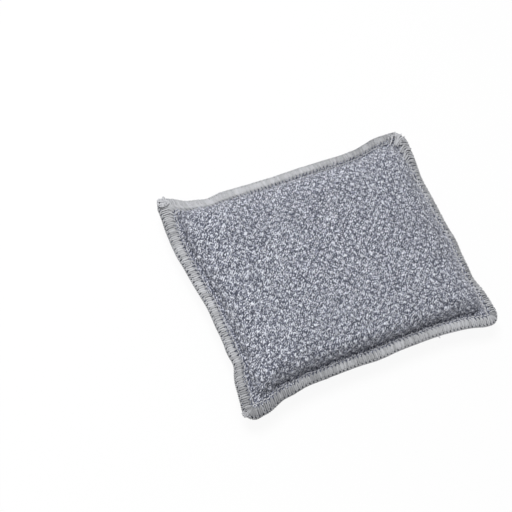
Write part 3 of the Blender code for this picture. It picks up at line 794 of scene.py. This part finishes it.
def looper(name, side, outer_end, phase, seed, replaced):
    """A looper thread. It follows a half oval over the band, whose inset grows as one
    minus the cosine of an angle and whose height grows as the sine to the power 0.9.
    Distances across are measured along the oval from the edge, less than 0 where the
    thread has come round it. Each stitch goes in along one lane, turns in a half oval
    at the needle line, comes back along the next lane, and turns again at the edge. Its
    lanes draw together towards the needle line and are widest in their middle."""
    draw = np.random.default_rng(seed)
    angle = np.linspace(-0.9, 2.4, OVAL_POINTS)
    inset_table = EDGE_INSET + BAND_REACH * (1 - np.cos(angle))
    height_table = side * THREAD_LEVEL * np.sign(angle) * np.abs(np.sin(angle)) ** 0.9
    distance = np.append(0, np.cumsum(np.hypot(np.diff(inset_table), np.diff(height_table))))
    distance -= np.interp(0, angle, distance)

    # One stitch: where its stations are along the seam, the share of the way in from the
    # edge, and how far its turns go past the lanes' ends
    radius = pitch / 4
    turn = np.linspace(-np.pi / 2, np.pi / 2, TURN_STATIONS)
    lane = np.linspace(0, 1, LANE_STATIONS + 2)[1:-1]
    along_step = np.concatenate((
        np.full(LANE_STATIONS, -radius), radius * np.sin(turn),
        np.full(LANE_STATIONS, radius), pitch / 2 + radius * np.sin(turn)))
    lane_share = np.concatenate((lane, np.ones(TURN_STATIONS), lane[::-1], np.zeros(TURN_STATIONS)))
    turn_depth = np.concatenate((
        np.zeros(LANE_STATIONS), TURN_DEPTH * np.cos(turn),
        np.zeros(LANE_STATIONS), -EDGE_TURN * np.cos(turn)))
    count = len(along_step)
    stitch = np.repeat(np.arange(STITCH_COUNT), count)
    beat = 2 * (np.arange(STITCH_COUNT * count) / count + 0.5 - LANE_STATIONS / 2 / count)

    def wander(spread, steps=2 * STITCH_COUNT):
        """Random numbers of that spread, one to a lane or so many to the round, joined
        by straight lines."""
        values = spread * draw.standard_normal(steps)
        return np.interp(beat * steps / (2 * STITCH_COUNT), np.arange(steps), values, period=steps)

    # All the stitches, each pinched together at its inner end by its own amount
    pinch = (PINCH * (0.4 + 1.2 * draw.random(STITCH_COUNT)))[stitch]
    pinched = np.tile(along_step, STITCH_COUNT) \
        * (1 - pinch * np.tile(smooth_step(lane_share, 0.55, 1.0), STITCH_COUNT))
    along = pitch * (stitch + phase) + pinched + wander(LANE_WANDER)
    inner_end = np.interp(reach_along(along), inset_table, distance)
    lane_start, lane_end = outer_end + EDGE_TURN, inner_end - TURN_DEPTH
    across = lane_start + np.tile(lane_share, STITCH_COUNT) * (lane_end - lane_start) \
        + np.tile(turn_depth, STITCH_COUNT)
    share = (across - outer_end) / (inner_end - outer_end)
    across = across + (1 - share) * wander(OUTER_WANDER) - share * np.abs(wander(INNER_WANDER))
    inset, height = np.interp(across, distance, inset_table), np.interp(across, distance, height_table)
    inset = inset - smooth_step(1 - share, 0.7, 1.0) * wander(EDGE_WANDER)
    height = height - side * INNER_DIP * smooth_step(share, 0.7, 1.0)
    slope = np.interp(across, distance, np.arctan2(
        side * np.gradient(height_table), np.gradient(inset_table)))
    normal = lifted(along, inset, height, -np.sin(slope), side * np.cos(slope))

    # The thread is as wide as its neighbours leave room for, and narrower at the corners
    # and where it is slack
    crowd = np.linalg.norm(seam_place(along + radius, inset, height)
                           - seam_place(along - radius, inset, height), axis=-1) / (2 * radius)
    corner_far = np.abs(np.mod(along, seam_length())[:, None] - corner_places()).min(axis=1)
    slack = slackness(along)
    spread = LANE_HALF_WIDTH + 0.08 * smooth_step(corner_far, 6, 24) - 0.08 * slack \
        + wander(WIDTH_WANDER) * (1 + slack) + wander(WIDTH_WANDER, steps=60)
    middle = smooth_step(share, 0, 0.25) * smooth_step(1 - share, 0, 0.35)
    end_width = END_HALF_WIDTH - 0.04 * smooth_step(share, 0.5, 1)
    half_width = (end_width + (spread - end_width) * middle) * np.clip(crowd, 0.4, 1.1)
    half_thickness = np.full(len(along), LOOPER_HALF_THICKNESS)
    # Tint: random from lane to lane, painted darker on the slack right side as painted shade that the
    # swell casts on its band, and at the shaded places
    tint = np.interp(beat, np.arange(2 * STITCH_COUNT), draw.random(2 * STITCH_COUNT)) \
        - 0.5 * slack \
        - sum(depth * bell((along - place) / reach) for place, reach, depth in SHADED_THREAD_PLACES)
    return add_thread(name, seam_place(along, inset, height), normal, half_width,
                      half_thickness, tint, sides=8, closed=True, replaced=replaced)


looper("lower_looper_stitches", side=-1, outer_end=-1.1, phase=0.15, seed=21,
       replaced="lower_looper_thread")

# Upper looper thread: it lies on the upper side of the band, close as satin, and
# locks with the lower looper's loops at the edge.

looper("upper_looper_stitches", side=1, outer_end=1.2, phase=0.0, seed=22,
       replaced="upper_looper_thread")

# Thread ends: the same thread. The seam starts and ends at the far right corner, where
# its last stitches lie loosely over its first ones. Spare thread is drawn into a knot
# on each left corner, and a short end sticks out of the near side.

OVERLAP_STITCHES, OVERLAP_START, OVERLAP_INSET, END_PLACE = 13, -12.0, 4.4, 359.5


def loose_thread(name, points, radius, tint):
    """A round thread laid loosely through some points, by the cubic of finer()."""
    path = finer(len(points), 6) @ points
    radii = np.full(len(path), radius)
    return add_thread(name, path, np.tile((0.0, 0.0, 1.0), (len(path), 1)), radii, radii,
                      np.full(len(path), tint), sides=6, closed=False)


def knot_path(along, inset, height, radius, turns, seed):
    """Points of a knot of thread on the seam: a circle run round some times, eight
    points to a turn, whose radius and height waver at random."""
    draw = np.random.default_rng(seed)
    angle = np.linspace(0, 2 * np.pi * turns, int(8 * turns))
    reach = radius * (1.2 * draw.random(len(angle)) - 0.2)
    middle = seam_place(np.array([along]), np.array([inset]), np.array([height]))
    return middle + np.stack((reach * np.cos(angle), reach * np.sin(angle),
                              0.6 * radius * draw.random(len(angle))), -1)


draw = np.random.default_rng(31)
overlap_count = 4 * OVERLAP_STITCHES
overlap_beat = np.arange(overlap_count)
overlap_along = OVERLAP_START + pitch * overlap_beat / 4 + 0.55 * draw.standard_normal(overlap_count)
overlap_wave = np.sin(np.pi * overlap_beat / 2)
overlap_swing = overlap_wave * (3.2 + 0.9 * draw.standard_normal(overlap_count))
overlap_inset = np.maximum(OVERLAP_INSET + overlap_swing, 1.0)
overlap_height = 2.6 - 0.8 * overlap_wave**2 + 0.7 * draw.random(overlap_count)
loose_thread("overlap_stitches", seam_place(overlap_along, overlap_inset, overlap_height),
             radius=0.27, tint=0.7)
loose_thread("far_left_knot", knot_path(
    corner_places()[1], inset=2.0, height=1.6, radius=2.8, turns=9, seed=41), radius=0.33, tint=0.8)
loose_thread("near_left_knot", knot_path(
    corner_places()[2] - 2.2, inset=0.5, height=0.4, radius=1.6, turns=6, seed=42), radius=0.3, tint=0.0)
end_share = np.linspace(0, 1, 5)
loose_thread("near_side_end", seam_place(
    END_PLACE + 0.8 * end_share**2, 1.4 - 2.6 * end_share, 1.4 - end_share), radius=0.26, tint=0.2)

# Table, light and camera: a white table top under one soft lamp on the far left, near
# enough that the light falls off over the sponge, and an even fill from all round.

TABLE_HALF, TABLE_SHOWN = 3.0, 0.92
LIGHT_FROM = np.array((-0.26, 0.34, 0.90))
LIGHT_AWAY, LIGHT_SIZE, LIGHT_STRENGTH, FILL_STRENGTH = 0.85, 0.4, 2.5, 0.39
LENS = 70
CAMERA_RIGHT = (0.8831, -0.3965, 0.2508)
CAMERA_UP = (0.2827, 0.8763, 0.3901)
CAMERA_BACK = (-0.3745, -0.2735, 0.8860)
CAMERA_PLACE = np.array((-210.96, -114.23, 418.94 + SEAM_LEVEL)) * MM


def shown_rays(material):
    """Node that gives 1 to the rays that show what they meet: the camera's, and those
    off a gloss and through glass. It gives 0 to the ones that only carry light."""
    ray = add_node(material, "LightPath")
    seen = add_node(material, "Math", {
        0: (ray, "Is Camera Ray"), 1: (ray, "Is Glossy Ray")}, operation="ADD")
    return add_node(material, "Math", {
        0: (seen, 0), 1: (ray, "Is Transmission Ray")}, operation="MAXIMUM")


# White painted board: matt. It shows almost as plain white, with a share of its own
# shading left, so that the sponge keeps its shadow.
table_material, table_shader = new_material("white table top", {
    "Base Color": colour("#f4f4f4"), "Roughness": 0.9})
table_white = add_node(table_material, "Emission", {"Color": colour("#ffffff"), "Strength": 1.0})
table_share = add_node(table_material, "Math", {
    0: (shown_rays(table_material), 0), 1: TABLE_SHOWN}, operation="MULTIPLY")
table_mix = add_node(table_material, "MixShader", {
    "Fac": (table_share, 0), 1: (table_shader, "BSDF"), 2: (table_white, "Emission")})
link(table_material, table_mix, "Shader", table_material.node_tree.nodes["Material Output"], "Surface")
table_mesh = bpy.data.meshes.new("table_top")
table_mesh.from_pydata([(x * TABLE_HALF, y * TABLE_HALF, 0.0) for x, y in
                        ((-1, -1), (1, -1), (1, 1), (-1, 1))], [], [(0, 1, 2, 3)])
table_mesh.materials.append(table_material)
table_top = add_object("table_top", table_mesh)

# The fill shows as plain white too, and lights the sponge at its own lower strength
world = bpy.data.worlds.new("studio")
world.use_nodes = True
scene.world = world
sky = world.node_tree.nodes["Background"]
sky_strength = add_node(world, "MapRange", {
    "Value": (shown_rays(world), 0), "To Min": FILL_STRENGTH, "To Max": 1.0})
link(world, sky_strength, "Result", sky, "Strength")
sky.inputs["Color"].default_value = colour("#ffffff")

softbox = bpy.data.lights.new("softbox", "AREA")
softbox.shape = "DISK"
softbox.size = LIGHT_SIZE
softbox.energy = LIGHT_STRENGTH * np.pi * LIGHT_AWAY**2
softbox_object = add_object("softbox", softbox)


def aimed(back, up):
    """Turn of a lamp whose back points along back, with its columns for the directions
    of its right, its up and its back."""
    back = np.array(back) / np.linalg.norm(back)
    right = np.cross(up, back)
    right /= np.linalg.norm(right)
    return np.stack((right, np.cross(back, right), back), axis=1)


def place_object(thing, turn, location):
    """Puts a lamp or camera at a place, turned by a table of its three directions."""
    matrix = np.eye(4)
    matrix[:3, :3], matrix[:3, 3] = turn, location
    thing.matrix_world = Matrix(matrix.tolist())


place_object(softbox_object, aimed(LIGHT_FROM, (0, 0, 1)), LIGHT_AWAY * LIGHT_FROM)

# The camera looks some 60 degrees down on the sponge
camera = bpy.data.cameras.new("camera")
camera.lens = LENS
camera.clip_start, camera.clip_end = 0.01, 20
camera_object = add_object("camera", camera)
place_object(camera_object, np.stack((CAMERA_RIGHT, CAMERA_UP, CAMERA_BACK), axis=1), CAMERA_PLACE)
scene.camera = camera_object
scene.view_settings.view_transform = "Standard"
